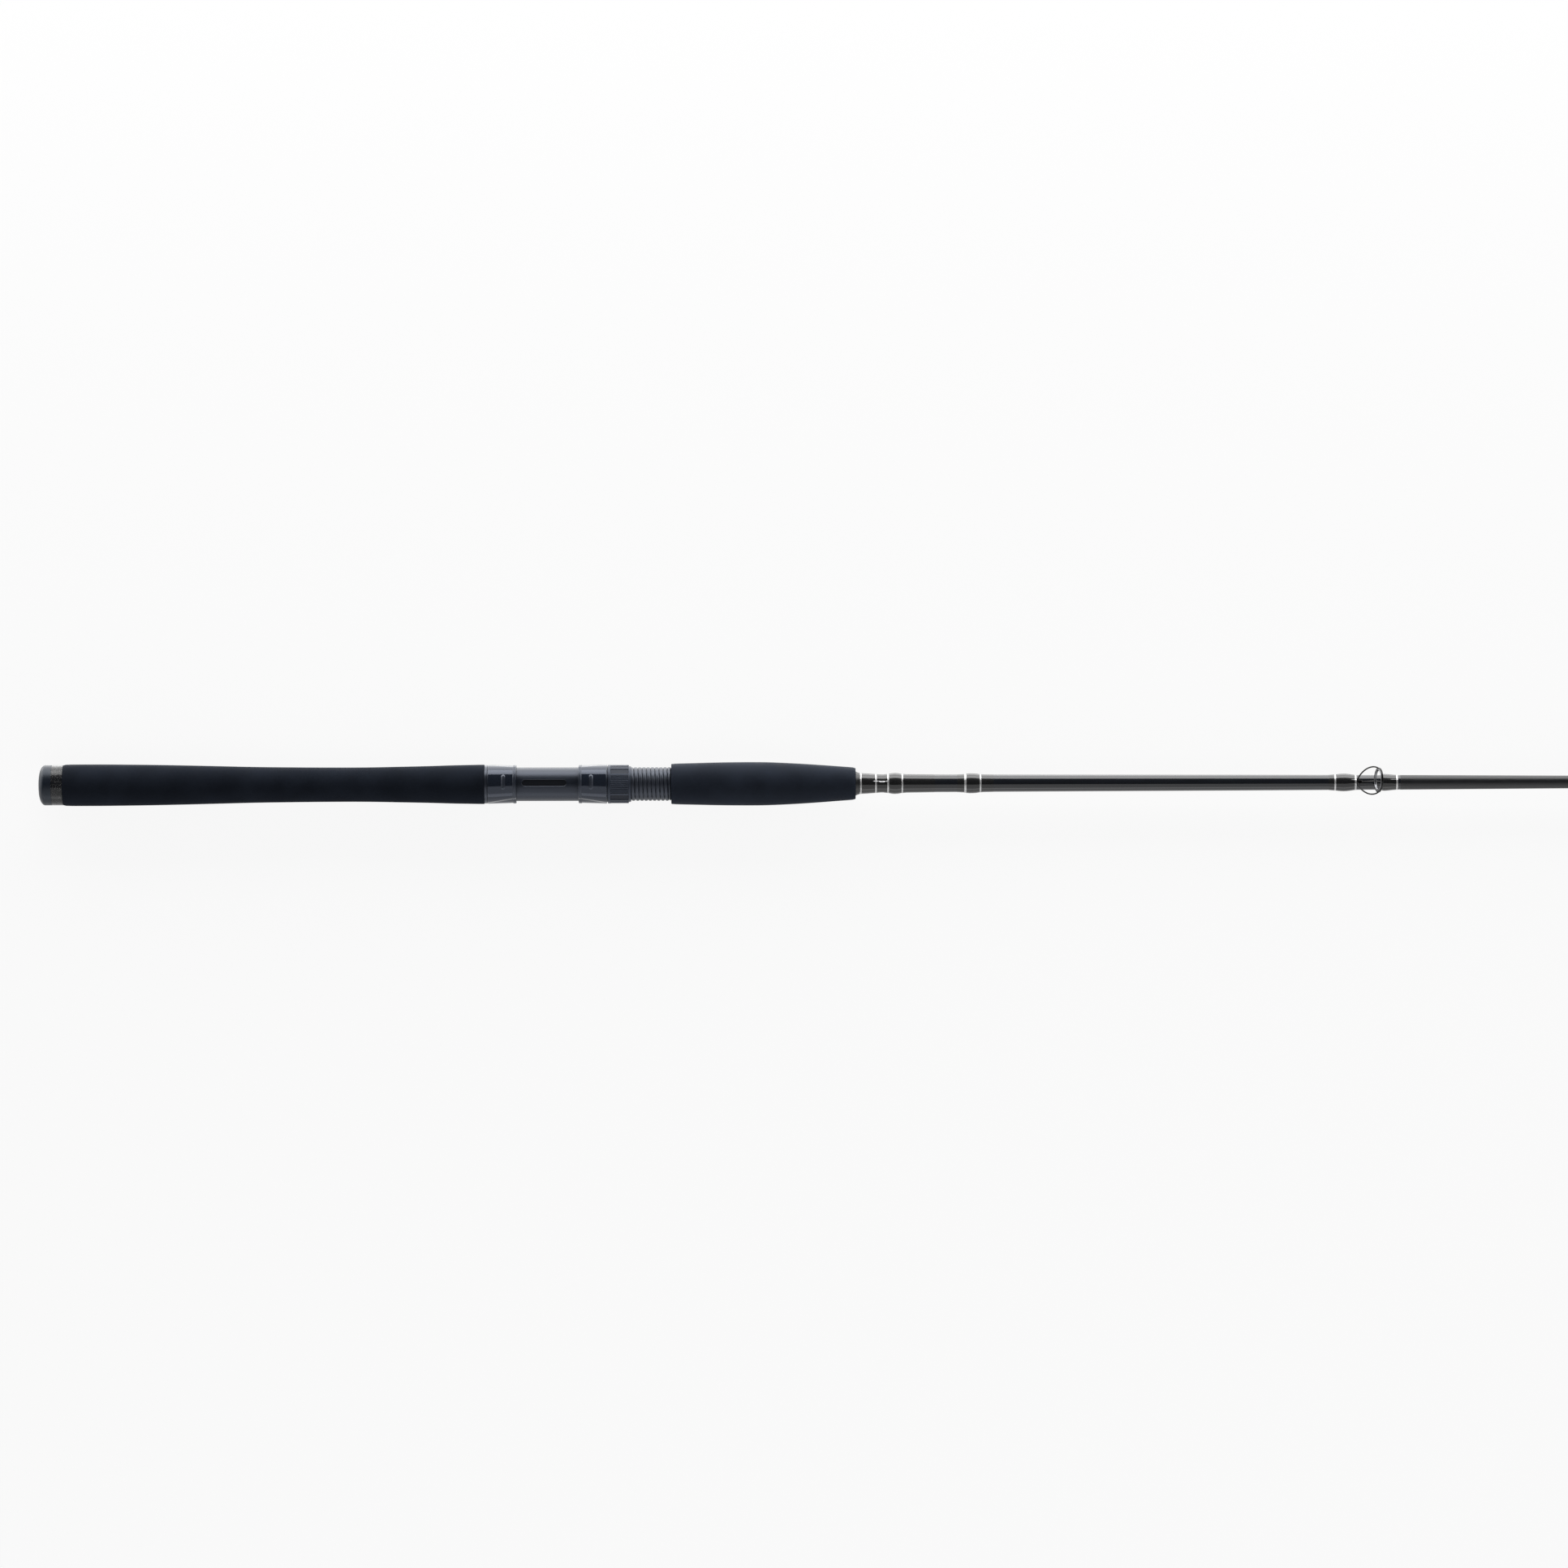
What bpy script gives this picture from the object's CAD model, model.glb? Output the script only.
import math

import bmesh
import bpy
import numpy as np
from mathutils import Matrix, Quaternion, Vector


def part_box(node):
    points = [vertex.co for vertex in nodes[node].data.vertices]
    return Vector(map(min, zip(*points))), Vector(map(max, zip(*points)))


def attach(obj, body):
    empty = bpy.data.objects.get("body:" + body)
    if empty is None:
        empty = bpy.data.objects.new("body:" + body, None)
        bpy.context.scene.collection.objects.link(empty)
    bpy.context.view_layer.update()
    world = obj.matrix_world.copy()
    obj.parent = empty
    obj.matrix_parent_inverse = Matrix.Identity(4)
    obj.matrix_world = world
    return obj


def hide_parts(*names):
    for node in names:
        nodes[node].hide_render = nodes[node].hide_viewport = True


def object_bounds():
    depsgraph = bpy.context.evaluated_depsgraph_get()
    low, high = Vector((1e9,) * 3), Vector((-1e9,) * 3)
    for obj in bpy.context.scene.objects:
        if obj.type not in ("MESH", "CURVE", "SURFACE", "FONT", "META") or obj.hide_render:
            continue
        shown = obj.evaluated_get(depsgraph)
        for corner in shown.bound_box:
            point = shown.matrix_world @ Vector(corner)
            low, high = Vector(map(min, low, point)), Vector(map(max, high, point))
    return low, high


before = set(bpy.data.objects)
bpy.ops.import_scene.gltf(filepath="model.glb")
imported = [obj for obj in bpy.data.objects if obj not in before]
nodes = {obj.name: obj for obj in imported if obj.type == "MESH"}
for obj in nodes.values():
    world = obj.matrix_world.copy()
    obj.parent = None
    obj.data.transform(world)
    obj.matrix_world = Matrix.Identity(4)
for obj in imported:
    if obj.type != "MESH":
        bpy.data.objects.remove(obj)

cad_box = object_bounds()
MM = 0.001
TINY = 2e-6
WELD = 1e-7
DIGITS = 6
TURN = 2 * math.pi


# ---- Reading the frame's outlines ----
def node_points(node):
    return np.array([v.co for v in nodes[node].data.vertices])


def solid_spans(node):
    """Where along X each of a node's solids starts and ends."""
    x = node_points(node)[:, 0]
    reaches = sorted((x[list(p.vertices)].min(), x[list(p.vertices)].max())
                     for p in nodes[node].data.polygons)
    spans = []
    for low, high in reaches:
        if spans and low < spans[-1][1] + TINY:
            spans[-1][1] = max(spans[-1][1], high)
        else:
            spans.append([low, high])
    return spans


def looks_out(node):
    """Which of a node's vertices lie on faces that look away from the rod's axis."""
    mesh, least = nodes[node].data, 0.2
    out = np.zeros(len(mesh.vertices), bool)
    for face in mesh.polygons:
        n, c = face.normal, face.center
        if n.y * c.y + n.z * c.z > least * math.hypot(c.y, c.z):
            out[list(face.vertices)] = True
    return out


def outlines(node):
    """Each turned solid of a node, as its outer outline of (x, r) points and its bore's radius at both ends.
    It is read from the underside, because guide feet are cut out of the top of some windings."""
    level = 1e-5
    co, out = node_points(node), looks_out(node)
    below = co[:, 2] < level
    co, out = co[below], out[below]
    x, r = co[:, 0], np.hypot(co[:, 1], co[:, 2])
    found = []
    for low, high in solid_spans(node):
        here = (x > low - TINY) & (x < high + TINY)
        places = np.unique(np.round(x[here & out], DIGITS))
        far = [r[here & out & (np.abs(x - p) < TINY)].max() for p in places]
        bore = [r[here & (np.abs(x - p) < TINY)].min() for p in (places[0], places[-1])]
        found.append((list(zip(places, far)), bore))
    return found


blank_line, blank_bore = outlines("blank")[0]


def blank_r(x):
    return float(np.interp(x, *np.array(blank_line).T))


# ---- Profiles ----
def smooth(outline, step):
    """The outline resampled along a curve through its points that never overshoots them."""
    flat, steepest = 1e-12, 3
    x, y = np.array(outline).T
    h = np.diff(x)
    d = np.diff(y) / h
    m = np.concatenate([[d[0]], (d[1:] + d[:-1]) / 2, [d[-1]]])
    for i, s in enumerate(d):
        if abs(s) < flat:
            m[i] = m[i + 1] = 0
            continue
        a, b = max(m[i] / s, 0), max(m[i + 1] / s, 0)
        k = steepest / max(math.hypot(a, b), steepest)
        m[i], m[i + 1] = k * a * s, k * b * s
    at = np.linspace(x[0], x[-1], max(2, int(round((x[-1] - x[0]) / step)) + 1))
    i = np.clip(np.searchsorted(x, at) - 1, 0, len(h) - 1)
    t = (at - x[i]) / h[i]
    r = ((1 + 2 * t) * (1 - t) ** 2 * y[i] + t * (1 - t) ** 2 * h[i] * m[i]
         + t * t * (3 - 2 * t) * y[i + 1] + t * t * (t - 1) * h[i] * m[i + 1])
    return list(zip(at, r))


def rounded(line, radius, steps=4, least_turn=0.2):
    """The line with its corners rounded off, using up to nearly half of each side."""
    most = 0.45
    out = [line[0]]
    for a, b, c in zip(line, line[1:], line[2:]):
        a, b, c = Vector(a), Vector(b), Vector(c)
        before, after = a - b, c - b
        bend = math.pi - before.angle(after)
        if bend < least_turn:
            out.append(tuple(b))
            continue
        cut = min(radius * math.tan(bend / 2), most * before.length, most * after.length)
        start, end = b + before.normalized() * cut, b + after.normalized() * cut
        for k in range(steps + 1):
            t = k / steps
            out.append(tuple((1 - t) ** 2 * start + 2 * t * (1 - t) * b + t * t * end))
    return out + [line[-1]]


def corner_cut(line, times=3):
    """The line smoothed by cutting its corners again and again; its ends stay."""
    near = 0.75
    for _ in range(times):
        out = [line[0]]
        for a, b in zip(line, line[1:]):
            a, b = Vector(a), Vector(b)
            out += [tuple(near * a + (1 - near) * b), tuple((1 - near) * a + near * b)]
        line = out + [line[-1]]
    return line


def smax(a, b, k):
    """The larger of two, rounded over where they are within k of each other."""
    h = np.maximum(k - np.abs(a - b), 0) / k
    return np.maximum(a, b) + h * h * k / 4


def smin(a, b, k):
    return -smax(-a, -b, k)


def ramp(t):
    t = np.clip(t, 0, 1)
    return t * t * (3 - 2 * t)


def spread(*marks):
    """Places from marks of (place, step): the step is the spacing up to the next mark."""
    slack = 1e-6
    out = []
    for (a, step), (b, _) in zip(marks, marks[1:]):
        n = max(1, math.ceil((b - a) / step - slack))
        out += [a + (b - a) * k / n for k in range(n)]
    return out + [marks[-1][0]]


# ---- Meshes ----
def piece(name, bm, material, body="rod", node=(), sharp=40):
    """Finishes a mesh as a piece of the object."""
    bmesh.ops.remove_doubles(bm, verts=bm.verts, dist=WELD)
    bmesh.ops.recalc_face_normals(bm, faces=bm.faces)
    mesh = bpy.data.meshes.new(name)
    bm.to_mesh(mesh)
    bm.free()
    return finished(name, mesh, material, body, node, sharp)


def finished(name, mesh, material, body="rod", node=(), sharp=40):
    mesh.shade_smooth()
    mesh.set_sharp_from_angle(angle=math.radians(sharp))
    mesh.materials.clear()
    mesh.materials.append(material)
    made = bpy.data.objects.new(name, mesh)
    bpy.context.scene.collection.objects.link(made)
    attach(made, body)
    for n in [node] if isinstance(node, str) else node:
        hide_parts(n)
    return made


def grid(bm, rows, closed=True):
    """Faces between rows of points that each go all the way round."""
    verts = [[bm.verts.new(p) for p in row] for row in rows]
    for low, high in zip(verts, verts[1:] + verts[:1] if closed else verts[1:]):
        for j in range(len(low)):
            k = (j + 1) % len(low)
            bm.faces.new([low[j], low[k], high[k], high[j]])
    return verts


def ring_row(x, radii, angles):
    return [(x, s * math.cos(a), s * math.sin(a)) for s, a in zip(radii, angles)]


def steps_round(angles):
    return np.arange(angles) * TURN / angles if isinstance(angles, int) else np.array(angles)


def turn(bm, loop, angles=96, reshape=None):
    """Turns a closed loop of (x, r) points about the rod's axis. reshape(x, r, angles) gives new radii."""
    at = steps_round(angles)
    grid(bm, [ring_row(x, np.full(len(at), r) if reshape is None else reshape(x, r, at), at)
              for x, r in loop])


def turned(name, node, material, step=None, edge=0.1 * MM, angles=96, reshape=None, body="rod",
           round_start=0):
    """A piece turned from each of a node's solids, smoothed along its length if a step is given, when only
    its sharper corners are rounded. round_start is the length over which the last solid's free start is
    rounded off."""
    least_turn = 0.5 if step else 0.2
    least_height = 0.15
    bm = bmesh.new()
    found = outlines(node)
    for outline, bore in found:
        line = smooth(outline, step) if step and len(outline) > 2 else outline
        if round_start and outline is found[-1][0]:
            share = [1 - min((x - line[0][0]) / round_start, 1) for x, _ in line]
            line = [(x, blank_r(x) + (r - blank_r(x)) * max(math.sqrt(1 - t * t), least_height))
                    for (x, r), t in zip(line, share)]
        ends = [(line[0][0], bore[0])] + list(line) + [(line[-1][0], bore[1])]
        turn(bm, rounded(ends, edge, least_turn=least_turn), angles, reshape)
    return piece(name, bm, material, body, node)


def tube(bm, path, radii, sides=16):
    """A closed round tube along a path."""
    path = [Vector(p) for p in path]
    radii = radii if hasattr(radii, "__len__") else [radii] * len(path)
    side = None
    rows = []
    for i, p in enumerate(path):
        heading = (path[min(i + 1, len(path) - 1)] - path[max(i - 1, 0)]).normalized()
        side = heading.orthogonal() if side is None else side - heading * side.dot(heading)
        side.normalize()
        other = heading.cross(side)
        rows.append([p + radii[i] * (math.cos(t) * side + math.sin(t) * other)
                     for t in (TURN * j / sides for j in range(sides))])
    verts = grid(bm, rows, closed=False)
    bm.faces.new(verts[0][::-1])
    bm.faces.new(verts[-1])


def bezier(a, b, c, d, steps=20):
    a, b, c, d = (Vector(p) for p in (a, b, c, d))
    return [(1 - t) ** 3 * a + 3 * t * (1 - t) ** 2 * b + 3 * t * t * (1 - t) * c + t ** 3 * d
            for t in (k / steps for k in range(steps + 1))]


# ---- Materials ----
def grey(level, blue=0.0):
    """A neutral colour that leans to blue."""
    return (level * (1 - blue), level * (1 - 0.4 * blue), level * (1 + blue), 1)


# A wave texture's period at scale 1, and the pitch of wound thread in millimetres
WAVE_PERIOD = TURN / 20
THREAD_PITCH = 0.25
# The range that most of a noise texture's values lie in
NOISE_LOW, NOISE_HIGH = 0.3, 0.7


def surface(name, colour, rough, metallic=0.0, mottle=0.2, mottle_size=6, rough_change=0.05, grain=0.0,
            grain_size=0.3, coat=0.0, coat_rough=0.05, threads=0.0, flecks=None, specular=0.5, tint=(1, 1, 1),
            stretch=1):
    """A procedural material. Sizes are in millimetres; grain and threads are bump depths in millimetres;
    stretch is how much longer its patches are along the rod; flecks are (size, share of cells, colour)."""
    mat = bpy.data.materials.new(name)
    mat.use_nodes = True
    tree = mat.node_tree
    bsdf = tree.nodes["Principled BSDF"]
    bsdf.inputs["Metallic"].default_value = metallic
    bsdf.inputs["Specular IOR Level"].default_value = specular
    bsdf.inputs["Specular Tint"].default_value = (*tint, 1)
    bsdf.inputs["Coat Weight"].default_value = coat
    bsdf.inputs["Coat Roughness"].default_value = coat_rough
    place = tree.nodes.new("ShaderNodeTexCoord").outputs["Object"]

    def noise(size, detail, along=1):
        scaled = tree.nodes.new("ShaderNodeMapping")
        scaled.inputs["Scale"].default_value = (1 / along, 1, 1)
        made = tree.nodes.new("ShaderNodeTexNoise")
        made.inputs["Scale"].default_value = 1000 / size
        made.inputs["Detail"].default_value = detail
        tree.links.new(place, scaled.inputs["Vector"])
        tree.links.new(scaled.outputs["Vector"], made.inputs["Vector"])
        return made.outputs["Fac"]

    def mixed(fac, a, b):
        made = tree.nodes.new("ShaderNodeMix")
        made.data_type = "RGBA"
        made.inputs["A"].default_value = a
        made.inputs["B"].default_value = b
        tree.links.new(fac, made.inputs["Factor"])
        return made

    def stretched(fac, low, high, to_low, to_high):
        made = tree.nodes.new("ShaderNodeMapRange")
        for socket, value in zip(("From Min", "From Max", "To Min", "To Max"), (low, high, to_low, to_high)):
            made.inputs[socket].default_value = value
        tree.links.new(fac, made.inputs["Value"])
        return made.outputs["Result"]

    dark = tuple(c * (1 - mottle) for c in colour[:3]) + (1,)
    light = tuple(c * (1 + mottle) for c in colour[:3]) + (1,)
    patches = stretched(noise(mottle_size, 4, stretch), NOISE_LOW, NOISE_HIGH, 0, 1)
    shade = mixed(patches, dark, light).outputs["Result"]
    height = None
    if grain:
        height = (noise(grain_size, 2, stretch), grain)
    if threads:
        in_groove, on_crest, distortion = (0.6, 0.6, 0.6, 1), (1.15, 1.15, 1.15, 1), 0.4
        wave = tree.nodes.new("ShaderNodeTexWave")
        wave.inputs["Scale"].default_value = WAVE_PERIOD / (THREAD_PITCH * MM)
        wave.inputs["Distortion"].default_value = distortion
        tree.links.new(place, wave.inputs["Vector"])
        height = (wave.outputs["Fac"], threads)
        lines = mixed(wave.outputs["Fac"], in_groove, on_crest)
        product = tree.nodes.new("ShaderNodeMix")
        product.data_type = "RGBA"
        product.blend_type = "MULTIPLY"
        product.inputs["Factor"].default_value = 1
        tree.links.new(shade, product.inputs["A"])
        tree.links.new(lines.outputs["Result"], product.inputs["B"])
        shade = product.outputs["Result"]
    if flecks:
        size, share, fleck_colour = flecks
        fleck_edge, fleck_full = 0.42, 0.3
        cells = tree.nodes.new("ShaderNodeTexVoronoi")
        cells.inputs["Scale"].default_value = 1000 / size
        tree.links.new(place, cells.inputs["Vector"])
        apart = tree.nodes.new("ShaderNodeSeparateColor")
        tree.links.new(cells.outputs["Color"], apart.inputs["Color"])
        chosen = stretched(apart.outputs["Red"], 1 - share, 1, 0, 1)
        inside = stretched(cells.outputs["Distance"], fleck_edge, fleck_full, 0, 1)
        both = tree.nodes.new("ShaderNodeMath")
        both.operation = "MULTIPLY"
        tree.links.new(chosen, both.inputs[0])
        tree.links.new(inside, both.inputs[1])
        over = mixed(both.outputs["Value"], (0, 0, 0, 1), fleck_colour)
        tree.links.new(shade, over.inputs["A"])
        shade = over.outputs["Result"]
    tree.links.new(shade, bsdf.inputs["Base Color"])
    tree.links.new(stretched(noise(mottle_size / 2, 3, stretch), NOISE_LOW, NOISE_HIGH, rough - rough_change,
                             rough + rough_change), bsdf.inputs["Roughness"])
    if height:
        bump = tree.nodes.new("ShaderNodeBump")
        bump.inputs["Strength"].default_value = 1
        bump.inputs["Distance"].default_value = height[1] * MM
        tree.links.new(height[0], bump.inputs["Height"])
        tree.links.new(bump.outputs["Normal"], bsdf.inputs["Normal"])
    return mat


# Tints of the highlights
GUNMETAL = (0.76, 0.83, 1)
COOL = (0.82, 0.9, 1)
RUBBER = surface("rubber_cap", grey(0.009, 0.5), 0.42, mottle=0.15, grain=0.01, grain_size=0.25,
                 specular=0.38, tint=COOL)
BUTT_GLOSS = surface("butt_gloss", grey(0.006, 0.2), 0.3, mottle=0.2, mottle_size=2, coat=0.5,
                     coat_rough=0.15, flecks=(0.42, 0.5, grey(0.22)), specular=0.1)
EVA = surface("eva_foam", grey(0.0145, 0.3), 0.7, mottle=0.22, mottle_size=18, rough_change=0.06, grain=0.04,
              grain_size=0.35, specular=0.03, tint=COOL)
FORE_EVA = surface("eva_foam_fore", grey(0.0205, 0.3), 0.66, mottle=0.26, mottle_size=22, rough_change=0.06,
                   grain=0.04, grain_size=0.35, specular=0.06, tint=COOL)
TRIM = surface("trim_grey", grey(0.02, 0.25), 0.32, mottle=0.08, mottle_size=3, stretch=0.1, specular=0.6,
               tint=GUNMETAL)
SEAT = surface("seat_grey", grey(0.01, 0.4), 0.38, mottle=0.08, mottle_size=4, rough_change=0.015,
               grain=0.004, grain_size=0.2, specular=0.56, tint=GUNMETAL)
INLAY = surface("seat_inlay", grey(0.003, 0.2), 0.45, mottle=0.1, mottle_size=4, rough_change=0.01,
                specular=0.35, tint=GUNMETAL)
NUT_GREY = surface("nut_grey", grey(0.028, 0.3), 0.42, mottle=0.06, mottle_size=5, rough_change=0.02,
                   specular=0.4, tint=GUNMETAL)
NUT_PANEL = surface("nut_panel", grey(0.011, 0.28), 0.5, mottle=0.06, mottle_size=5, rough_change=0.02,
                    specular=0.25, tint=GUNMETAL)
THREAD_GREY = surface("thread_grey", grey(0.014, 0.28), 0.42, mottle=0.06, mottle_size=4, specular=0.65,
                      tint=GUNMETAL)
HOOD = surface("hood_grey", grey(0.0125, 0.4), 0.13, mottle=0.06, mottle_size=5, rough_change=0.02,
               specular=0.56, tint=GUNMETAL)
HOOD_EDGE = surface("hood_edge", grey(0.022, 0.25), 0.34, mottle=0.06, mottle_size=3, rough_change=0.02,
                    specular=0.5, tint=GUNMETAL)
POCKET = surface("pocket_black", grey(0.004), 0.6, mottle=0.2, mottle_size=1, grain=0.02)
ARBOR = surface("arbor_foam", (0.5, 0.42, 0.28, 1), 0.85, mottle=0.15, mottle_size=1.5, grain=0.08)
CHECK = surface("check_rubber", grey(0.006, 0.15), 0.36, mottle=0.12, mottle_size=2, grain=0.006)
GLOSS = surface("blank_gloss", grey(0.006, 0.4), 0.35, mottle=0.15, mottle_size=5, coat=1, coat_rough=0.03,
                stretch=6, specular=0.1)
SATIN = surface("blank_satin", grey(0.007, 0.15), 0.4, mottle=0.15, mottle_size=3, grain=0.004,
                grain_size=0.3, stretch=6, specular=0.45)
WRAP = surface("winding_black", grey(0.004, 0.1), 0.5, mottle=0.12, mottle_size=2, threads=0.03, coat=1,
               coat_rough=0.035, specular=0.1)
SILVER = surface("silver_thread", grey(0.56), 0.4, metallic=0.5, mottle=0.12, mottle_size=0.6, threads=0.03,
                 coat=0.6, coat_rough=0.05)
STEEL = surface("keeper_steel", grey(0.5, 0.01), 0.18, metallic=1, mottle=0.06, mottle_size=0.8)
FRAME_BLACK = surface("guide_black", grey(0.0025), 0.32, mottle=0.2, mottle_size=1.5, rough_change=0.04,
                      specular=0.15, coat=0.1, coat_rough=0.1)
RING = surface("ring_polished", grey(0.16, 0.03), 0.2, metallic=0.9, mottle=0.05, mottle_size=1,
               rough_change=0.03)


def dress(node, material):
    """A CAD node that stays gets a better material."""
    made = nodes[node]
    made.data.materials.append(material)
    for held in made.material_slots:
        held.link = "OBJECT"
        held.material = material


# ---- Butt ----
def closed_turn(bm, line, angles=128):
    """Turns a line that starts and ends on the axis."""
    at = steps_round(angles)
    verts = grid(bm, [ring_row(x, np.full(angles, r), at) for x, r in line[1:-1]], closed=False)
    for (x, _), row in ((line[0], verts[0]), (line[-1], verts[-1])):
        centre = bm.verts.new((x, 0, 0))
        for j in range(angles):
            bm.faces.new([centre, row[j], row[(j + 1) % angles]])


def butt_cap():
    low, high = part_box("butt_cap")
    start = blank_line[0][0]
    bore = blank_r(start)
    points = node_points("butt_cap")
    r = np.hypot(points[:, 1], points[:, 2])
    outside = sorted({round(x, DIGITS) for x in points[r > bore + TINY][:, 0]} | {round(low.x, DIGITS)})
    dome = [(low.x, 0)] + [(x, r[np.abs(points[:, 0] - x) < TINY].max()) for x in outside]
    seam = 0.25 * MM
    dome = corner_cut(dome[:-1]) + rounded([dome[-2], dome[-1], (high.x, bore)], seam)[1:-1]
    bm = bmesh.new()
    closed_turn(bm, dome + [(high.x, bore), (start, bore), (start, 0)])
    piece("butt_cap_rubber", bm, RUBBER, node="butt_cap")


butt_cap()
turned("butt_band_gloss", "butt_band", BUTT_GLOSS, edge=0.2 * MM, angles=128)

# ---- Grips and trims ----
# Their points lie half a step off the sides, where the CAD's own facets are a little inside the round
GRIP_ANGLES = (np.arange(128) + 0.5) * TURN / 128
turned("rear_grip_foam", "rear_grip", EVA, step=2 * MM, edge=0.5 * MM, angles=GRIP_ANGLES)
turned("fore_grip_foam", "fore_grip", FORE_EVA, step=2 * MM, edge=0.4 * MM, angles=GRIP_ANGLES)
turned("trim_ring", "rear_trim_ring", TRIM, edge=0.25 * MM, angles=128)
turned("check_cone", "winding_check", CHECK, edge=0.3 * MM)
for arbor in ("rear_arbor", "front_arbor"):
    dress(arbor, ARBOR)

# ---- Reel seat ----
# All of its numbers are in millimetres
BARREL_R, BARREL_BORE = 12.0, 9.0
THREAD = {"from": 391.8, "pitch": 3.0, "depth": 0.85, "fade": 0.75, "crest": 3.2, "flank": 1.3}
RECESS = {"from": 345.1, "to": 377.2, "half": 2.55, "floor": 11.2, "edge": 0.16}
KEYWAY = {"from": 385.8, "half": 1.6, "floor": 10.65, "edge": 0.1}


def past_recess_centres(x):
    """How far x is past the centres of the recess's round ends."""
    return max(RECESS["from"] + RECESS["half"] - x, 0, x - RECESS["to"] + RECESS["half"])


def barrel_surface(x, angles):
    """The barrel's radius round one place along it."""
    least_z = 0.5
    y, z = np.cos(angles), np.sin(angles)
    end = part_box("seat_barrel")[1].x / MM
    r = np.full(len(angles), BARREL_R)
    if x > THREAD["from"]:
        turns = (x - THREAD["from"]) / THREAD["pitch"] - angles / TURN
        off_crest = np.abs(2 * (turns % 1) - 1)
        fade = ramp(min((x - THREAD["from"]) / THREAD["fade"], (end - x) / THREAD["fade"]))
        r = r - THREAD["depth"] * (1 - fade * (1 - off_crest ** THREAD["crest"]) ** THREAD["flank"])
    from_centre = np.hypot(past_recess_centres(x), BARREL_R * y)
    sunk = ramp(0.5 + (RECESS["half"] - from_centre) / RECESS["edge"] / 2) * (z > 0)
    r = r + sunk * (RECESS["floor"] / np.maximum(z, least_z) - r)
    if x > KEYWAY["from"]:
        in_slot = ramp(0.5 + (KEYWAY["half"] - np.abs(r * y)) / KEYWAY["edge"] / 2) * (z < 0)
        r = r + in_slot * (np.minimum(r, KEYWAY["floor"] / np.maximum(-z, least_z)) - r)
    return r


def seat_barrel():
    low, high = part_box("seat_barrel")
    end = high.x / MM
    plain_step, thread_step, edge_step, recess_step = 2, 0.25, 0.12, 4
    around, into, keyway_end = 0.4, 3, 0.2
    xs = spread((low.x / MM, plain_step), (RECESS["from"] - around, edge_step),
                (RECESS["from"] + into, recess_step), (RECESS["to"] - into, edge_step),
                (RECESS["to"] + around, plain_step),
                (KEYWAY["from"], keyway_end / 2), (KEYWAY["from"] + keyway_end, plain_step),
                (THREAD["from"], thread_step), (end, 1))
    top = math.pi / 2
    fine, coarse_turn = math.radians(16), math.radians(2.2)
    keyway_turn, recess_turn = math.radians(1.2), math.radians(0.7)
    angles = np.array(spread((-top - fine, keyway_turn), (-top + fine, coarse_turn), (top - fine, recess_turn),
                             (top + fine, coarse_turn), (3 * top - fine, 1))[:-1])
    rows = [ring_row(x * MM, barrel_surface(x, angles) * MM, angles) for x in xs]
    rows += [ring_row(x, np.full(len(angles), BARREL_BORE * MM), angles) for x in (high.x, low.x)]
    bm = bmesh.new()
    grid(bm, rows)
    body = piece("seat_barrel_body", bm, SEAT, node="seat_barrel", sharp=50)
    body.data.materials.append(INLAY)
    body.data.materials.append(THREAD_GREY)
    near = 0.2
    for face in body.data.polygons:
        x, y, z = face.center / MM
        on_floor = RECESS["floor"] - near < z < RECESS["floor"] + near / 2
        if on_floor and math.hypot(past_recess_centres(x), y) < RECESS["half"]:
            face.material_index = 1
        elif x > THREAD["from"] and math.hypot(y, z) > BARREL_BORE + 1:
            face.material_index = 2


seat_barrel()

# Hoods are drawn in millimetres with the mouth at x = 0
HOOD_TOP, HOOD_SLOPE = 20.5, 0.257
CROWN_R, CROWN_SPREAD = 13.0, 1.0
MOUTH_HALF, BACK_HALF = 11.1, 13.7
SHELL_MOUTH, SHELL_BACK = 13.35, 13.95
RIM = {"length": 2.4, "shell": 0.3, "crown": 0.45}
BAR = {"from_mouth": 9.1, "half_length": 3.7, "half_width": 1.6, "rise": 0.5, "slope": 0.9}
POCKET_DEPTH, POCKET_HALF, HOOD_WALL = 13.8, 8.2, 1.6
HOOD_ROUND = {"mouth": 0.3, "end": 0.45, "pocket": 0.25}
# How far the hood's surfaces blend into each other
WALL_BLEND, SHELL_BLEND, POCKET_BLEND = 0.5, 0.25, 0.6
LEAST_Y = 0.05


def crown_polar(x, length, lift, y, z):
    """Where the crowned back is, along a ray from the rod's axis."""
    r = CROWN_R + CROWN_SPREAD * x / length
    centre = HOOD_TOP - HOOD_SLOPE * x - r
    return centre * z + np.sqrt(np.maximum((r + lift) ** 2 - (centre * y) ** 2, 0))


def round_edge(inside, radius):
    """How far an edge has drawn back, at a distance inside it."""
    t = np.clip(1 - inside / radius, 0, 1)
    return radius * (1 - math.sqrt(1 - t * t))


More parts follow.
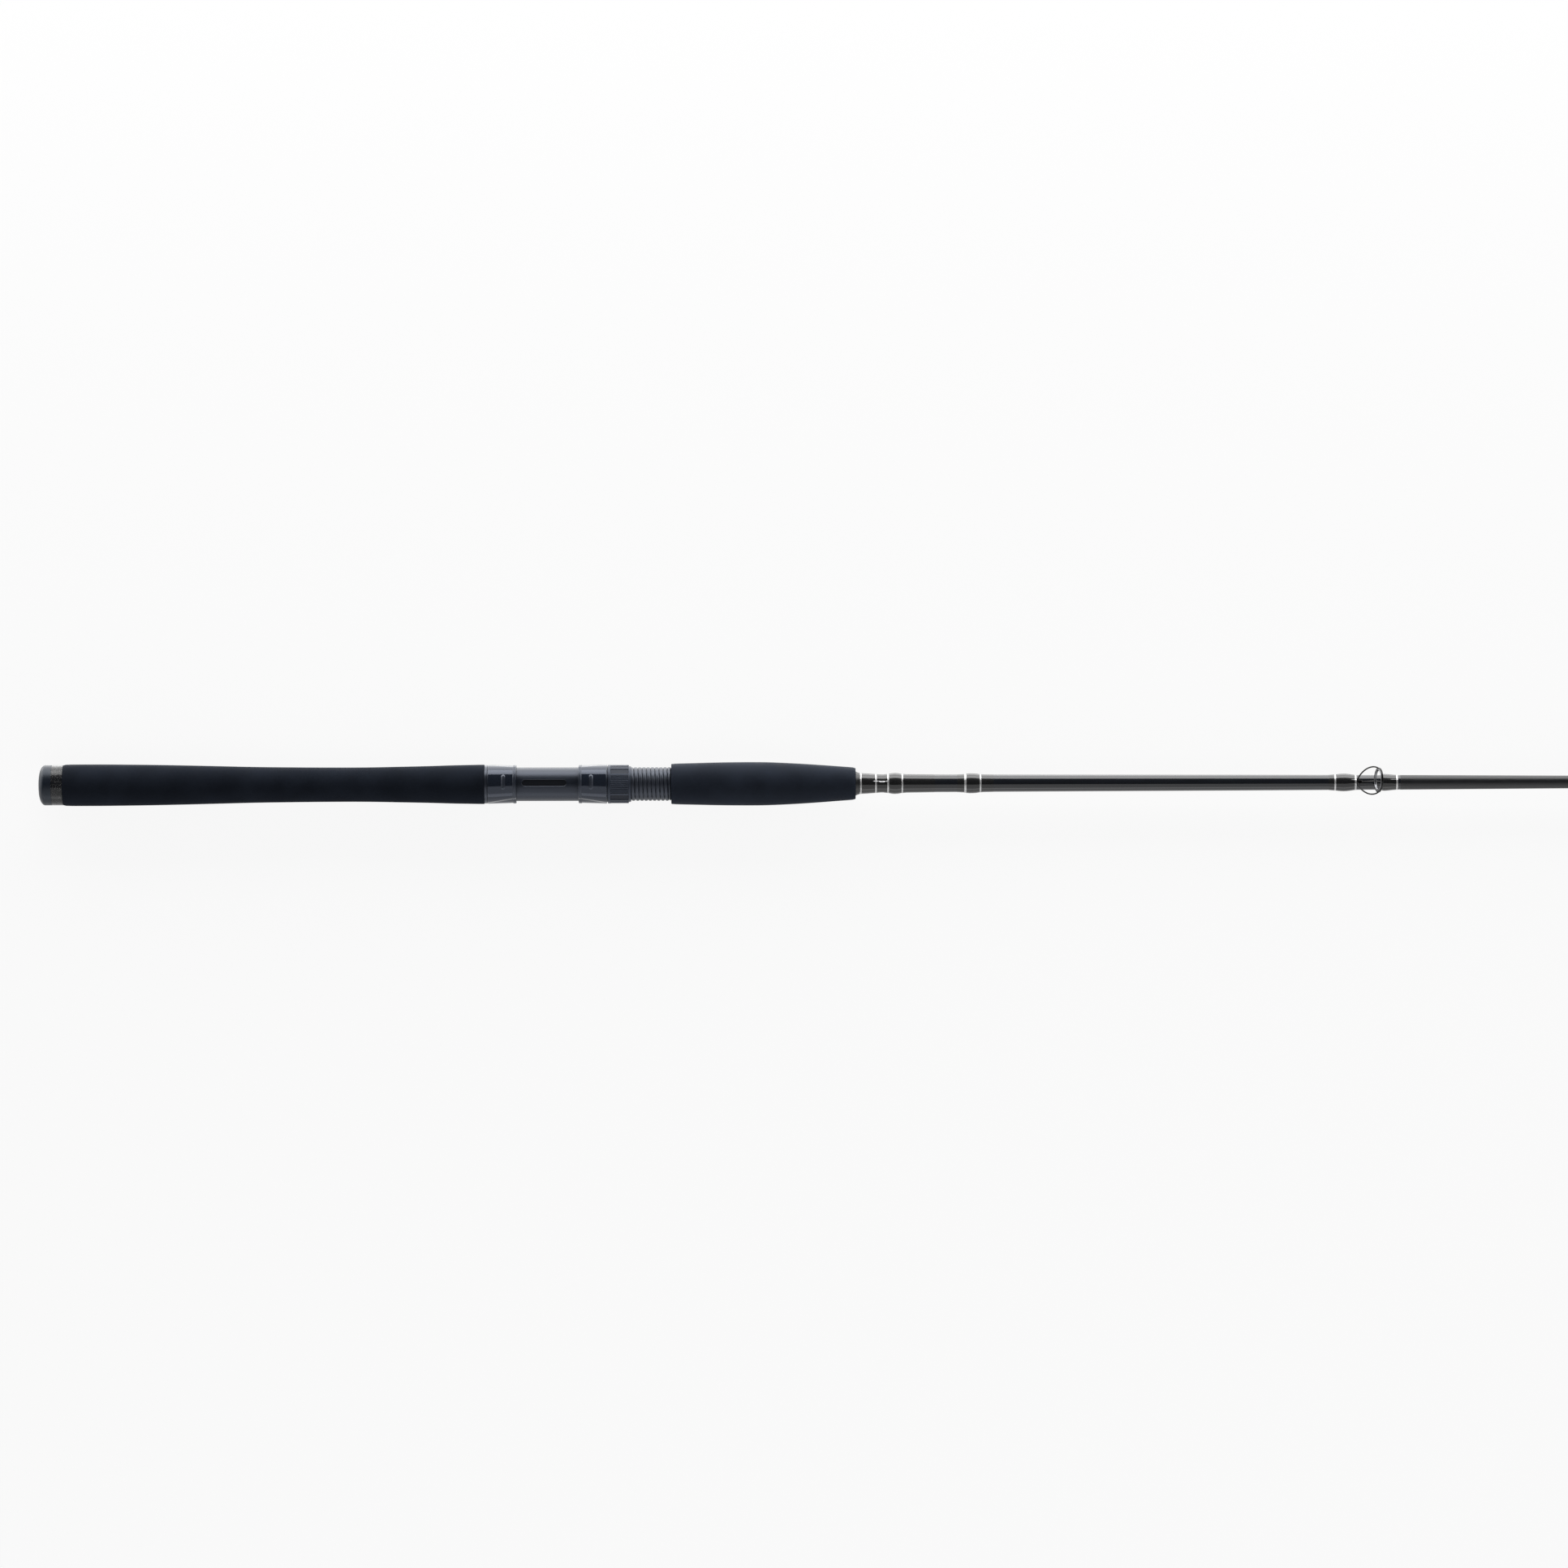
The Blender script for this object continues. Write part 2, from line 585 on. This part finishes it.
def hood_outside(x, length, angles):
    """The hood's radius: a round shell, with the crowned back between two side walls over it."""
    y, z = np.cos(angles), np.sin(angles)
    back = x / length
    bead = math.sqrt(max(0, 1 - (2 * x / RIM["length"] - 1) ** 4))
    crown = crown_polar(x, length, RIM["crown"] * bead, y, z)
    across = np.hypot(np.maximum(np.abs(crown * y) - BAR["half_length"], 0), x - BAR["from_mouth"])
    crown = crown + BAR["rise"] * ramp((BAR["half_width"] - across) / BAR["slope"]) * (z > 0)
    half = MOUTH_HALF + (BACK_HALF - MOUTH_HALF) * back + RIM["crown"] * bead / 2
    wall = half / np.maximum(np.abs(y), LEAST_Y)
    shell = SHELL_MOUTH + (SHELL_BACK - SHELL_MOUTH) * back + RIM["shell"] * bead
    r = smax(shell, smin(crown, wall, WALL_BLEND), SHELL_BLEND)
    return r - round_edge(length - x, HOOD_ROUND["end"]) - round_edge(x, HOOD_ROUND["mouth"])


def hood_inside(x, length, angles, bore):
    """The bore, with the room for a reel's foot over it."""
    y, z = np.cos(angles), np.sin(angles)
    if x > POCKET_DEPTH:
        return np.full(len(angles), bore)
    roof = crown_polar(x, length, -HOOD_WALL, y, z)
    pocket = smin(roof, POCKET_HALF / np.maximum(np.abs(y), LEAST_Y), POCKET_BLEND)
    return np.maximum(pocket, bore) + round_edge(x, HOOD_ROUND["pocket"])


def hood(name, node, body, mouth, way, bores):
    """A hood with its mouth at a place along the rod. way is 1 if it runs from there towards the tip and -1 if
    not; bores are (place, radius) from the mouth to the closed end."""
    low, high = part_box(node)
    length = (high.x - low.x) / MM
    angles = np.arange(400) * TURN / 400
    round_step, edge_step, bar_step, rim_step, plain_step, pocket_step = 0.08, 0.1, 0.16, 0.2, 0.4, 0.8
    bar_reach = BAR["half_width"] + 0.2
    out_x = spread((0, round_step), (HOOD_ROUND["mouth"] + 0.1, rim_step), (RIM["length"] - 0.5, edge_step),
                   (RIM["length"] + 0.1, plain_step), (BAR["from_mouth"] - bar_reach, bar_step),
                   (BAR["from_mouth"] + bar_reach, plain_step), (length - HOOD_ROUND["end"], edge_step),
                   (length, 1))
    in_x = spread((0, round_step), (HOOD_ROUND["mouth"], pocket_step), (POCKET_DEPTH, 1))
    rows = [(x, hood_outside(x, length, angles)) for x in out_x]
    rows += [(x, np.full(len(angles), r)) for x, r in reversed(bores)]
    rows += [(x, hood_inside(x, length, angles, bores[0][1])) for x in reversed(in_x)]
    bm = bmesh.new()
    grid(bm, [ring_row(mouth + way * x * MM, r * MM, angles) for x, r in rows])
    made = piece(name, bm, HOOD, body, node, sharp=45)
    made.data.materials.append(HOOD_EDGE)
    for face in made.data.polygons:
        x, y, z = face.center / MM
        x = way * (x - mouth / MM)
        across = math.hypot(max(abs(y) - BAR["half_length"], 0), x - BAR["from_mouth"])
        on_bar = z > BORE + 3 and across < BAR["half_width"] - BAR["slope"] / 3
        faces_out = face.normal.dot((0, y, z)) > 0
        on_rim = HOOD_ROUND["mouth"] < x < RIM["length"] and math.hypot(y, z) > SHELL_MOUTH - 0.2
        if on_bar or (on_rim and faces_out):
            face.material_index = 1


BORE, LOOSE_BORE = 12.0, 12.08
FIXED_LENGTH, MOVING_LENGTH = 20.6, 20.3
# The room that the nut's neck snaps into, and the lip behind it
NECK_ROOM = {"from": 16.75, "to": 18.45, "r": 13.3}
LIP = {"from": 18.75, "r": 13.0}
hood("fixed_hood_shell", "fixed_hood", "rod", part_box("fixed_hood")[1].x, -1,
     [(POCKET_DEPTH, BORE), (FIXED_LENGTH, BORE)])
hood("moving_hood_shell", "moving_hood", "hood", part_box("moving_hood")[0].x, 1,
     [(POCKET_DEPTH, LOOSE_BORE), (NECK_ROOM["from"], LOOSE_BORE), (NECK_ROOM["from"], NECK_ROOM["r"]),
      (NECK_ROOM["to"], NECK_ROOM["r"]), (LIP["from"], LIP["r"]), (MOVING_LENGTH, LIP["r"])])
for liner in ("fixed_hood_liner", "moving_hood_liner"):
    dress(liner, POCKET)

NUT = {"start": 406.5, "end": 423.1, "r": 13.65, "bore": 12.15, "flange": 1.9, "flange_r": 13.8,
       "collar": 1.7, "collar_r": 12.95, "end_r": 12.6, "edge": 0.3}
NECK = {"length": 4, "r": 12.85, "lip_from": 3.7, "lip_to": 2.6, "lip_r": 13.15, "slope": 0.3}
RIBS = {"grooves": 10, "step": math.radians(5.6), "depth": 0.3, "half": 0.36, "fade": 0.3}
PANEL = {"first": math.radians(51.5), "half": 2.5, "depth": 0.6, "edge": 0.25}


def off_middle(angles):
    """The angle from the middle between two panels"""
    return (angles - PANEL["first"]) % (TURN / 4) - TURN / 8


def nut_outside(x, angles):
    """The radius of the nut's middle, with grooves between four sunk flat panels."""
    ribs_from, ribs_to = NUT["start"] + NUT["flange"], NUT["end"] - NUT["collar"]
    r = NUT["r"]
    between = off_middle(angles)
    nearest = np.round(between / RIBS["step"] - 0.5) + 0.5
    groove = np.abs(between - nearest * RIBS["step"]) * r
    grooved = np.abs(nearest) < RIBS["grooves"] / 2
    cut = RIBS["depth"] * np.sqrt(np.maximum(1 - (groove / RIBS["half"]) ** 2, 0)) * grooved
    cut = cut * ramp((x - ribs_from) / RIBS["fade"]) * ramp((ribs_to - x) / RIBS["fade"])
    off_panel = TURN / 8 - np.abs(between)
    flat = (r - PANEL["depth"]) / np.cos(off_panel)
    sunk = ramp((PANEL["half"] - np.sin(off_panel) * r) / PANEL["edge"])
    sunk = sunk * ramp((x - ribs_from) / PANEL["edge"]) * ramp((ribs_to - x) / PANEL["edge"])
    return r - cut + sunk * (np.minimum(flat, r) - r)


def lock_nut():
    angles = np.arange(720) * TURN / 720
    start, end = NUT["start"], NUT["end"]
    neck = [(start - NECK["length"], NUT["bore"]), (start - NECK["length"], NECK["r"]),
            (start - NECK["lip_from"], NECK["lip_r"]), (start - NECK["lip_to"], NECK["lip_r"]),
            (start - NECK["lip_to"] + NECK["slope"], NECK["r"]), (start, NECK["r"])]
    flange_end, collar_from = start + NUT["flange"], end - NUT["collar"]
    meeting_r = NUT["r"] - 0.1
    flange = rounded([(start, NECK["r"]), (start, NUT["flange_r"]), (flange_end, NUT["flange_r"]),
                      (flange_end, meeting_r)], NUT["edge"] + 0.05)
    collar = rounded([(collar_from, meeting_r), (collar_from, NUT["collar_r"]), (end, NUT["end_r"]),
                      (end, NUT["bore"])], NUT["edge"])
    fine_step, plain_step = 0.06, 2
    ribbed = spread((flange_end, fine_step), (flange_end + NUT["edge"], plain_step),
                    (collar_from - NUT["edge"], fine_step), (collar_from, 1))
    rows = [(x, np.full(len(angles), r)) for x, r in neck + flange]
    rows += [(x, nut_outside(x, angles) - round_edge(x - flange_end, NUT["edge"] / 2)
              - round_edge(collar_from - x, NUT["edge"])) for x in ribbed]
    rows += [(x, np.full(len(angles), r)) for x, r in collar]
    bm = bmesh.new()
    grid(bm, [ring_row(x * MM, r * MM, angles) for x, r in rows])
    body = piece("lock_nut_body", bm, NUT_GREY, "nut", "lock_nut", sharp=45)
    body.data.materials.append(NUT_PANEL)
    near, ends = 0.05, 0.2
    for face in body.data.polygons:
        x, y, z = face.center / MM
        off_panel = TURN / 8 - abs(off_middle(math.atan2(z, y)))
        in_panel = abs(math.hypot(y, z) * math.cos(off_panel) - (NUT["r"] - PANEL["depth"])) < near
        if in_panel and flange_end + ends < x < collar_from - ends and off_panel < TURN / 16:
            face.material_index = 1


lock_nut()


# ---- Blank ----
def tube_piece(name, line, bores, material, angles=96):
    bm = bmesh.new()
    turn(bm, list(line) + [(line[-1][0], bores[1]), (line[0][0], bores[0])], angles)
    return piece(name, bm, material, node="blank")


def blank():
    """The blank, whose bore tapers evenly, in a gloss and a satin part."""
    gloss_end = 0.9727
    line = smooth(blank_line, 6 * MM)
    before = [p for p in line if p[0] < gloss_end]
    after = [p for p in line if p[0] > gloss_end]
    joint = (gloss_end, float(np.interp(gloss_end, *np.array(line).T)))
    bore = float(np.interp(gloss_end, [blank_line[0][0], blank_line[-1][0]], blank_bore))
    tube_piece("blank_gloss_part", before + [joint], (blank_bore[0], bore), GLOSS)
    tube_piece("blank_satin_part", [joint] + after, (bore, blank_bore[1]), SATIN)


blank()


# ---- Windings ----
def ridged(outline, bore, ridges_per_mm=4, depth=0.05 * MM):
    """A band of metallic thread: its turns show as rounded ridges."""
    (x0, r0), (x1, r1) = outline[0], outline[-1]
    turns = max(3, round((x1 - x0) / MM * ridges_per_mm))
    per_turn = 6
    line = []
    for k in range(turns * per_turn + 1):
        t = k / (turns * per_turn)
        below_crest = depth * (1 - abs(math.sin(math.pi * t * turns)))
        line.append((x0 + (x1 - x0) * t, r0 + (r1 - r0) * t - below_crest))
    return line + [(x1, bore[1]), (x0, bore[0])]


TOE_THICK = 0.1 * MM


def foot_bump(feet):
    """Raises a winding where it climbs over a guide's foot. Each foot is (toe, heel, half its width,
    thickness)."""
    cover, blend, skin = 0.18 * MM, 0.5 * MM, 0.02 * MM
    climb, past_heel = 0.15, 1.1
    least_z, least_y = 0.2, 1e-3

    def reshape(x, r, angles):
        y, z = np.cos(angles), np.sin(angles)
        radii = np.full(len(angles), r)
        if r < blank_r(x) + skin:
            return radii
        for toe, heel, half, thick in feet:
            t = (x - toe) / (heel - toe)
            if -climb < t < past_heel:
                foot_top = TOE_THICK + (thick - TOE_THICK) * min(max(t, 0), 1)
                top = blank_r(x) + (foot_top + cover) * ramp((t + climb) / climb)
                over = np.minimum(top / np.maximum(z, least_z), (half + cover) / np.maximum(np.abs(y), least_y))
                radii = smax(radii, np.where(z > least_z, over, 0), blend)
        return radii
    return reshape


def winding(name, node, angles=96, reshape=None, round_start=0):
    turned(name, node, WRAP, step=0.25 * MM, edge=0.06 * MM, angles=angles, reshape=reshape,
           round_start=round_start)


def silver(name, node, angles=96, reshape=None):
    bm = bmesh.new()
    for outline, bore in outlines(node):
        turn(bm, ridged(outline, bore), angles, reshape)
    piece(name, bm, SILVER, node=node)


def windings(prefix, wraps, bands, feet=(), angles=96):
    """A guide's windings and silver bands. The front winding of a guide on two feet starts rounded."""
    reshape = foot_bump(feet) if feet else None
    winding(prefix + "_winding", wraps, angles, reshape, 0.9 * MM if len(feet) == 2 else 0)
    silver(prefix + "_silver", bands, angles, reshape)


for node in ("butt_wrap", "keeper_wrap", "accent_wrap"):
    winding(node + "_winding", node)
silver("handle_silver", "silver_bands")


def hook_keeper():
    """A bent wire between two windings: from each foot it climbs, leans in and meets the low bridge."""
    low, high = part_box("hook_keeper")
    r = 0.45 * MM
    lean, climb, bend, foot = 0.55 * MM, 0.2 * MM, 1.2 * MM, 0.8 * MM
    half_base, half_top = 3.15 * MM, 0.9 * MM
    under = blank_r(0.6)
    top, outer = high.z - r, high.y - r
    inner = outer - lean
    mid = (0.5985 + 0.6062) / 2

    def side(way):
        """The bends on one side of the middle, from the foot to the bridge."""
        base = mid + way * half_base
        return [(base, outer, under + climb), (base - way * bend, outer, under + bend),
                (base - way * MM, inner, top), (mid + way * half_top, inner, top)]

    path = [(low.x, outer, under), (mid - half_base - foot, outer, under)]
    path += bezier(*side(-1), 10)
    path += bezier(*reversed(side(1)), 10)
    path += [(mid + half_base + foot, outer, under), (high.x, outer, under)]
    bm = bmesh.new()
    tube(bm, path, r)
    piece("keeper_bridge", bm, STEEL, node="hook_keeper")


hook_keeper()

# ---- Guides ----
LEAN = math.radians(15)
RING_AXIS = Vector((-math.cos(LEAN), 0, math.sin(LEAN)))
RING_UP = Vector((math.sin(LEAN), 0, math.cos(LEAN)))
SIDEWAYS = Vector((0, 1, 0))
# Half an insert's length along its bore, as a share of its thickness
INSERT_HALF = 0.64


def hoop(bm, centre, loop, steps=96):
    """Turns a closed loop of (radius, place along the ring's axis) about a ring's centre."""
    grid(bm, [[centre + r * (math.cos(t) * SIDEWAYS + math.sin(t) * RING_UP) + h * RING_AXIS
               for t in (TURN * j / steps for j in range(steps))] for r, h in loop])


def pill(inner, outer, half, steps=8):
    """A loop with round ends, for a ring's section."""
    r, mid = (outer - inner) / 2, (outer + inner) / 2
    straight = half - r
    ends = [(mid + r * math.cos(t), straight + r * math.sin(t)) for t in np.linspace(0, math.pi, steps + 1)]
    return ends + [(r_, -h) for r_, h in reversed(ends)]


def blade(bm, toe, heel, half, thick):
    """A guide's foot: a wedge with rounded ends, whose underside is let into the blank."""
    sunk, edge = 0.3 * MM, 0.12 * MM
    end_share, narrowest = 0.12, 0.3
    rows = []
    for t in np.linspace(0, 1, 25):
        x = toe + (heel - toe) * t
        inwards = min(t / end_share, (1 - t) / end_share, 1)
        w = half * (narrowest + (1 - narrowest) * math.sqrt(1 - (1 - inwards) ** 2))
        low, high = blank_r(x) - sunk, blank_r(x) + TOE_THICK + (thick - TOE_THICK) * t
        rows.append([(x, -w, low), (x, -w, high - edge), (x, edge - w, high), (x, w - edge, high),
                     (x, w, high - edge), (x, w, low)])
    verts = grid(bm, rows, closed=False)
    bm.faces.new(verts[0][::-1])
    bm.faces.new(verts[-1])


def fused(name, bm, node, voxel, passes=3):
    """Fuses overlapping closed shapes into one skin and softens its seams."""
    bmesh.ops.recalc_face_normals(bm, faces=bm.faces)
    mesh = bpy.data.meshes.new(name + "_rough")
    bm.to_mesh(mesh)
    bm.free()
    rough = bpy.data.objects.new(name + "_rough", mesh)
    bpy.context.scene.collection.objects.link(rough)
    remesh = rough.modifiers.new("skin", "REMESH")
    remesh.mode = "VOXEL"
    remesh.voxel_size = voxel
    soften = rough.modifiers.new("soften", "SMOOTH")
    soften.factor = 0.5
    soften.iterations = passes
    skin = bpy.data.meshes.new_from_object(rough.evaluated_get(bpy.context.evaluated_depsgraph_get()))
    skin.name = name
    bpy.data.objects.remove(rough)
    bpy.data.meshes.remove(mesh)
    return finished(name, skin, FRAME_BLACK, node=node, sharp=60)


def polished_ring(prefix):
    """The insert of a guide's ring. Gives the ring's centre and its outer diameter."""
    low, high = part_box(prefix + "_ring")
    centre = (low + high) / 2
    size = high.y - low.y
    thick = size / 12
    bm = bmesh.new()
    hoop(bm, centre, pill(size / 2 - thick, size / 2, thick * INSERT_HALF))
    piece(prefix + "_polished_ring", bm, RING, node=prefix + "_ring")
    return centre, size


def ring_band(bm, centre, inner, band, half):
    """The frame's band round an insert: band is its thickness and half is half its width."""
    hoop(bm, centre, rounded([(inner, 0), (inner, half), (inner + band, half), (inner + band, -half),
                              (inner, -half), (inner, -TINY)], 0.3 * band))


def guide(number):
    """A guide of bent wire. Places are drawn for a size 16 ring, in millimetres from the ring's centre, and
    scaled by k; the windings get shorter more slowly, by w."""
    prefix = f"guide_{number}"
    centre, size = polished_ring(prefix)
    k = size / (16 * MM)
    w = 0.4 + 0.6 * k
    two_feet = number <= 3
    band = (0.35 + 0.6 * k) * MM
    width = 1.3 * (0.5 + k / 2) * MM
    wire = (0.3 + 0.25 * k) * MM
    ring_r = size / 2 + band / 2
    ground = blank_r(centre.x)
    foot = ground + 0.5 * MM

    def at(x, y, z):
        return (centre.x + x * k * MM, y * k * MM, z)

    bm = bmesh.new()
    ring_band(bm, centre, size / 2, band, width / 2)
    for side in (-1, 1):
        tube(bm, [at(-14.6, 0.8 * side, foot)] + bezier(
            at(-14.1, 1.2 * side, foot), at(-12.4, 6.6 * side, foot + 2.5 * k * MM),
            at(-5.4, 12.5 * side, centre.z - 5 * k * MM), (centre.x, ring_r * side, centre.z)), wire)
    base = centre - ring_r * RING_UP
    tube(bm, bezier(at(-11, 0, foot), at(-8.5, 0, foot), at(-5, 0, foot + 1.5 * k * MM), base), wire)
    if two_feet:
        tube(bm, bezier(base, base + Vector((1.6, 0, -2)) * k * MM, at(1.4, 0, ground + 0.9 * MM),
                        at(3.4, 0, ground + 0.3 * MM)), wire)
    half_foot = min((1.4 + 1.2 * k) * MM, 0.9 * ground) / 2
    foot_thick = (0.1 + 0.4 * k) * MM
    feet = [(-14.7 * k - 12 * w, -10.2 * k)] + ([(4.6 * k + 8.5 * w, 2 * k)] if two_feet else [])
    feet = [(centre.x + toe * MM, centre.x + heel * MM, half_foot, foot_thick) for toe, heel in feet]
    for f in feet:
        blade(bm, *f)
    fused(prefix + "_black_frame", bm, prefix + "_frame", (0.1 + 0.06 * k) * MM)
    windings(prefix, prefix + "_wraps", prefix + "_bands", feet)


for number in range(1, 9):
    guide(number)


def tip_guide():
    """The tip guide: a tube over the blank's end, two legs and a brace of wire, and a ring."""
    centre, size = polished_ring("tip")
    band, half, wire = 0.8 * MM, 0.4875 * MM, 0.5 * MM
    tube_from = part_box("tip_frame")[0].x
    tube_to = tube_from + 15 * MM
    tube_r = blank_r(tube_from) + 0.5 * MM
    hole = 0.1 * MM
    bm = bmesh.new()
    ring_band(bm, centre, size / 2, band, half)
    closed_turn(bm, [(tube_from, 0)] + rounded([(tube_from, hole), (tube_from, tube_r), (tube_to, tube_r),
                                                (tube_to, hole)], 0.5 * MM) + [(tube_to, 0)], 48)
    reach = size / 2 + band - 0.4 * MM
    for side in (-1, 1):
        tube(bm, bezier((centre.x - 13 * MM, 0.6 * side * MM, 0.9 * MM),
                        (centre.x - 10 * MM, 3 * side * MM, 2.6 * MM),
                        (centre.x - 5 * MM, 5.4 * side * MM, centre.z - 2 * MM),
                        (centre.x, reach * side, centre.z)), wire)
    base = centre - reach * RING_UP
    tube(bm, bezier((centre.x - 6 * MM, 0, 0.6 * MM), (centre.x - 5 * MM, 0, MM),
                    base - Vector((0.6, 0, 1)) * MM, base), wire)
    fused("tip_black_frame", bm, "tip_frame", 0.13 * MM)
    windings("tip", "tip_wrap", "tip_bands", angles=48)


tip_guide()


# ---- Stage ----
def stage_material(name, colour, shown):
    """Pale and diffuse, and close to white where it is seen directly, in a reflection or through glass.
    shown is how much of that white shows under the object; it grows to all of it away from the object,
    where no shadow falls, so that the lights' own edges on the floor don't show."""
    mat = bpy.data.materials.new(name)
    mat.use_nodes = True
    tree = mat.node_tree
    tree.nodes.clear()
    out = tree.nodes.new("ShaderNodeOutputMaterial")
    pale = tree.nodes.new("ShaderNodeBsdfDiffuse")
    pale.inputs["Color"].default_value = colour
    glow = tree.nodes.new("ShaderNodeEmission")
    glow.inputs["Strength"].default_value = 1

    def calculated(operation, first, second=0.0):
        made = tree.nodes.new("ShaderNodeMath")
        made.operation = operation
        for socket, value in zip(made.inputs, (first, second)):
            if isinstance(value, float):
                socket.default_value = value
            else:
                tree.links.new(value, socket)
        return made.outputs["Value"]

    near, far = 0.6, 0.95
    middle = (cad_box[0].x + cad_box[1].x) / 2
    place = tree.nodes.new("ShaderNodeSeparateXYZ")
    tree.links.new(tree.nodes.new("ShaderNodeTexCoord").outputs["Object"], place.inputs["Vector"])
    along = calculated("ABSOLUTE", calculated("SUBTRACT", place.outputs["X"], middle))
    past_end = calculated("MAXIMUM", calculated("SUBTRACT", along, middle), 0.0)
    away = calculated("SQRT", calculated("ADD", calculated("POWER", past_end, 2.0),
                                         calculated("MULTIPLY", place.outputs["Y"], place.outputs["Y"])))
    white = tree.nodes.new("ShaderNodeMapRange")
    white.interpolation_type = "SMOOTHSTEP"
    for socket, value in zip(("From Min", "From Max", "To Min", "To Max"), (near, far, shown, 1)):
        white.inputs[socket].default_value = value
    tree.links.new(away, white.inputs["Value"])
    path = tree.nodes.new("ShaderNodeLightPath")
    seen = calculated("MAXIMUM", path.outputs["Is Camera Ray"], path.outputs["Is Glossy Ray"])
    seen = calculated("MAXIMUM", seen, path.outputs["Is Transmission Ray"])
    mix = tree.nodes.new("ShaderNodeMixShader")
    tree.links.new(calculated("MULTIPLY", seen, white.outputs["Result"]), mix.inputs["Fac"])
    tree.links.new(pale.outputs["BSDF"], mix.inputs[1])
    tree.links.new(glow.outputs["Emission"], mix.inputs[2])
    tree.links.new(mix.outputs["Shader"], out.inputs["Surface"])
    return mat


def sweep():
    """One seamless floor, cove and wall round the whole object."""
    radius, cove, wall = 24.0, 2.0, 8.0
    floor = cad_box[0].z
    steps, middle = 96, 1
    line = [(r, 0) for r in (0.5, 1, 2, 4, 8, 16, radius - cove)]
    line += [(radius - cove + cove * math.sin(t), cove * (1 - math.cos(t)))
             for t in np.linspace(0.1, math.pi / 2, 12)]
    line += [(radius, wall)]
    bm = bmesh.new()
    verts = grid(bm, [[(middle + r * math.cos(t), r * math.sin(t), floor + h)
                       for t in (TURN * j / steps for j in range(steps))] for r, h in line], closed=False)
    bm.faces.new(verts[0][::-1])
    mesh = bpy.data.meshes.new("sweep")
    bm.to_mesh(mesh)
    bm.free()
    mesh.shade_smooth()
    mesh.materials.append(stage_material("sweep_pale", (0.8, 0.8, 0.8, 1), 0.9))
    made = bpy.data.objects.new("sweep", mesh)
    bpy.context.scene.collection.objects.link(made)


sweep()


def panel(name, low, high, radiance):
    """A soft light: a flat panel between two (y, z) edges, which reaches past both ends of the rod."""
    length, middle = 4.4, 1.0
    low, high = Vector((middle, *low)), Vector((middle, *high))
    data = bpy.data.lights.new(name, "AREA")
    data.shape = "RECTANGLE"
    data.size = length
    data.size_y = (high - low).length
    data.energy = radiance * math.pi * data.size * data.size_y
    made = bpy.data.objects.new(name, data)
    bpy.context.scene.collection.objects.link(made)
    made.location = (low + high) / 2
    up = (high - low).normalized()
    facing = Vector((1, 0, 0)).cross(up)
    target = Vector((middle, 0, 0)) - made.location
    if facing.dot(target) < 0:
        facing = -facing
    back = -facing
    made.rotation_mode = "QUATERNION"
    side = up.cross(back)
    made.rotation_quaternion = Matrix((side, up, back)).transposed().to_quaternion()
    made.visible_camera = False


KEY_Y, KEY_TOP = 1.0, 0.62
LOW_Y, LOW_Z = 0.022, cad_box[0].z + MM
panel("key_panel", (KEY_Y, 0.0), (KEY_Y, KEY_TOP), 4.6)
panel("low_panel", (LOW_Y, LOW_Z), (KEY_Y, LOW_Z), 2.4)
panel("fill_panel", (-1.2, 0.0), (-0.8, 2.1), 0.9)

ROOM_LIGHT = 0.1
world = bpy.data.worlds.new("room")
world.use_nodes = True
world.node_tree.nodes["Background"].inputs["Color"].default_value = (1, 1, 1, 1)
world.node_tree.nodes["Background"].inputs["Strength"].default_value = ROOM_LIGHT
scene = bpy.context.scene
scene.world = world
scene.view_settings.view_transform = "Standard"

# ---- Camera ----
# It stands over the middle of the stretch of rod that it shows, which starts just before the butt.
SENSOR = 36.0
VIEW_START, VIEW_WIDTH = -0.02796, 1.1206
AIM_Y = -0.0002
DISTANCE = 6.0
ELEVATION = math.radians(85)
ROLL = math.radians(0.1255)
CLIP_END = 200
camera_data = bpy.data.cameras.new("camera")
camera_data.sensor_width = SENSOR
camera_data.lens = SENSOR * DISTANCE / VIEW_WIDTH
camera_data.clip_end = CLIP_END
camera = bpy.data.objects.new("camera", camera_data)
scene.collection.objects.link(camera)
target = Vector((VIEW_START + VIEW_WIDTH / 2, AIM_Y, 0))
back = Vector((0, -math.cos(ELEVATION), math.sin(ELEVATION)))
camera.location = target + DISTANCE * back
camera.rotation_mode = "QUATERNION"
camera.rotation_quaternion = Quaternion(back, -ROLL) @ Quaternion((1, 0, 0), math.pi / 2 - ELEVATION)
scene.camera = camera
